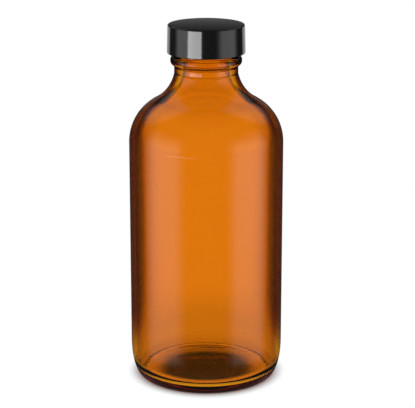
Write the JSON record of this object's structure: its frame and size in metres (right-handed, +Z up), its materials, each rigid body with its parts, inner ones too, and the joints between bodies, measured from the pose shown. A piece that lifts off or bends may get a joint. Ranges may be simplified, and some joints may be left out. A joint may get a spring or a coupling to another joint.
{
  "type": "reagent bottle",
  "caption": "Round-shouldered amber glass reagent bottle with a short threaded neck, a black screw cap and a cone liner.",
  "frame": {"origin": "middle of the foot, on the surface that the bottle stands on", "axes": "+Z up along the bottle's axis, from the foot to the cap"},
  "size_m": [0.0604, 0.0604, 0.1417],
  "materials": {
    "amber_glass": "clear amber soda-lime glass, fire polished",
    "black_phenolic": "black compression-moulded phenolic, semi-gloss",
    "white_polyethylene": "natural white polyethylene, satin"
  },
  "bodies": {
    "bottle": {"bottle": "amber_glass"},
    "liner": {"liner": "white_polyethylene"},
    "cap": {"cap": "black_phenolic"}
  },
  "joints": [
    {"name": "cap_lift", "type": "slide", "parent": "bottle", "child": "liner", "axis": [0, 0, 1], "range_m": [0, 0.0127]},
    {"name": "cap_turn", "type": "hinge", "parent": "liner", "child": "cap", "pos_m": [0, 0, 0.1392], "axis": [0, 0, 1], "range_deg": [0, 1080]}
  ],
  "couplings": [
    {"joint": "cap_lift", "follows": "cap_turn", "m_per_rad": 0.00067375}
  ]
}
